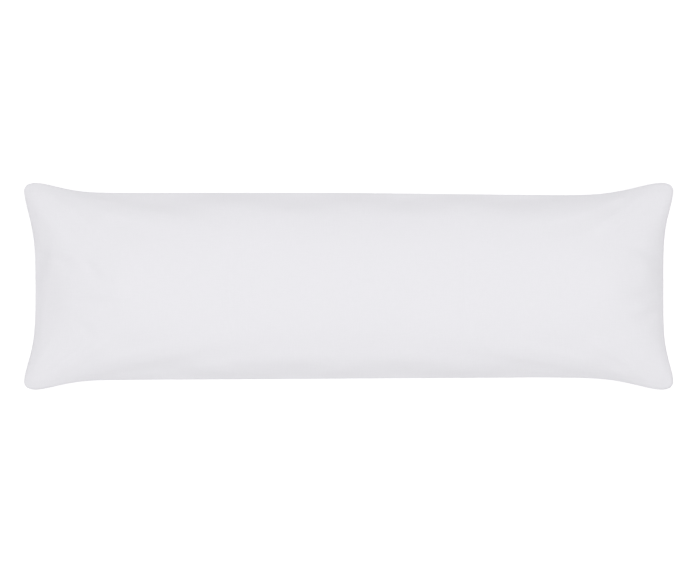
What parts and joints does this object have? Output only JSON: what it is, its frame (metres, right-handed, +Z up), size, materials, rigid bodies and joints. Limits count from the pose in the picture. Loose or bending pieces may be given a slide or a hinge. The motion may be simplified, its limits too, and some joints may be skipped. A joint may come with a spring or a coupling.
{
  "type": "body pillow",
  "caption": "Long rectangular filled body pillow with a stitched edge, drawn-in ends and soft ears, lying on its back.",
  "frame": {"origin": "middle of the pillow's box at its lowest level, on the flat patch that the pillow rests on", "axes": "+X along the pillow's length, +Y across it, +Z up through its thickness"},
  "size_m": [1.5, 0.478, 0.1588],
  "materials": {
    "cotton_percale": "matt white plain weave"
  },
  "bodies": {
    "root": {"pillow": "cotton_percale"}
  },
  "joints": []
}
